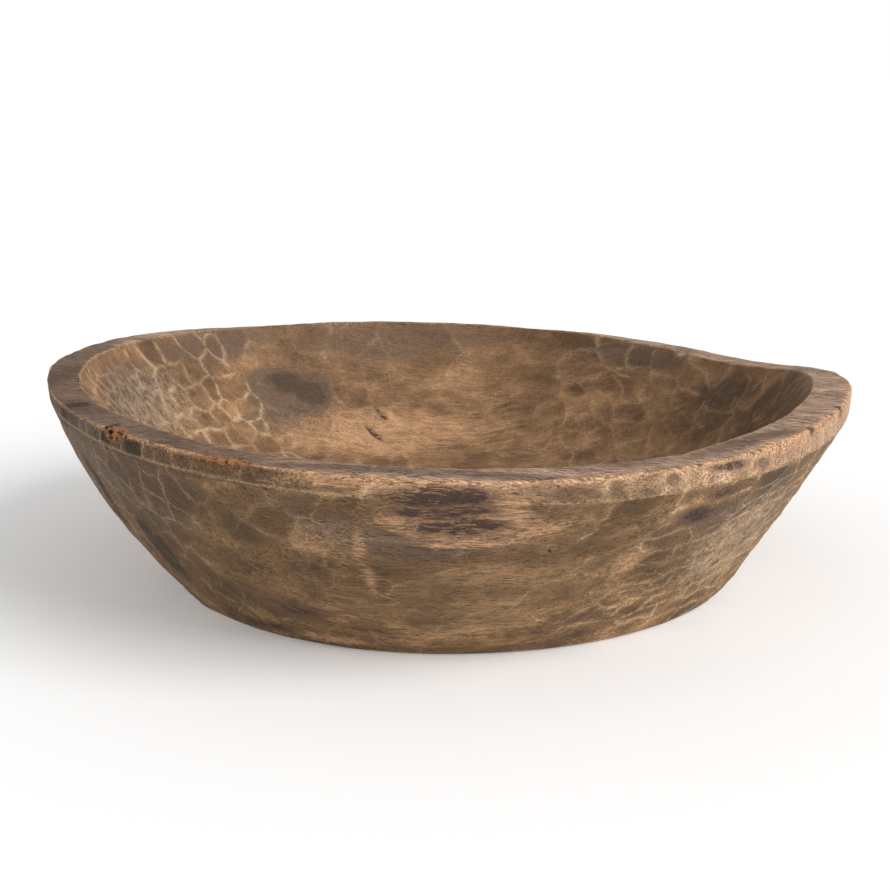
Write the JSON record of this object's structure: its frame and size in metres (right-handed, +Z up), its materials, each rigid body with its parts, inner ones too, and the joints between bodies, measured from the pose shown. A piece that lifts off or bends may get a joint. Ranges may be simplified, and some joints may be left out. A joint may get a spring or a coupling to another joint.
{
  "type": "carved wooden bowl",
  "caption": "Broad, shallow hand-carved wooden bowl with a flat base, flared side, upright band below a flat-topped rim that dips on one side, and tool-marked faces.",
  "frame": {"origin": "centre of the flat base, on the surface the bowl stands on", "axes": "+Z up, +X along the wood's grain towards the end where the rim dips, -Y towards the side usually seen"},
  "size_m": [0.4115, 0.4288, 0.1048],
  "materials": {
    "wood": "dry, hand-worn matt wood with tool marks"
  },
  "bodies": {
    "root": {"bowl": "wood"}
  },
  "joints": []
}
